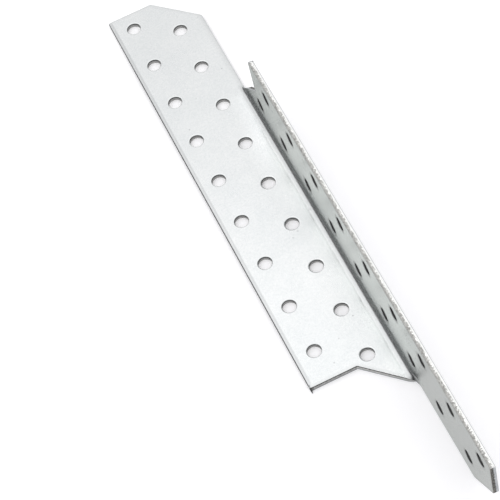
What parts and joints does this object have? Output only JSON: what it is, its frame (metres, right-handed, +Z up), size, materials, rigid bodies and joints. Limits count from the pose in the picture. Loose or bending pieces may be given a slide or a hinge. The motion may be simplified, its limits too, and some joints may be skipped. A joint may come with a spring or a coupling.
{
  "type": "rafter purlin anchor",
  "caption": "Perforated angle of folded galvanised sheet with its legs offset lengthwise, nailed to a purlin and a rafter where they cross.",
  "frame": {"origin": "middle of the overall length and width, on the underside of the flat purlin leg", "axes": "+Y along the fold, towards the purlin leg's outer end; +X towards the outer face of the rafter leg; +Z up the rafter leg"},
  "size_m": [0.0344, 0.25, 0.0345],
  "materials": {
    "galvanised_steel": "continuous hot-dip zinc coating, pale silver with a fine cloudy spangle; bare sheared edges"
  },
  "bodies": {
    "root": {"anchor": "galvanised_steel"}
  },
  "joints": []
}
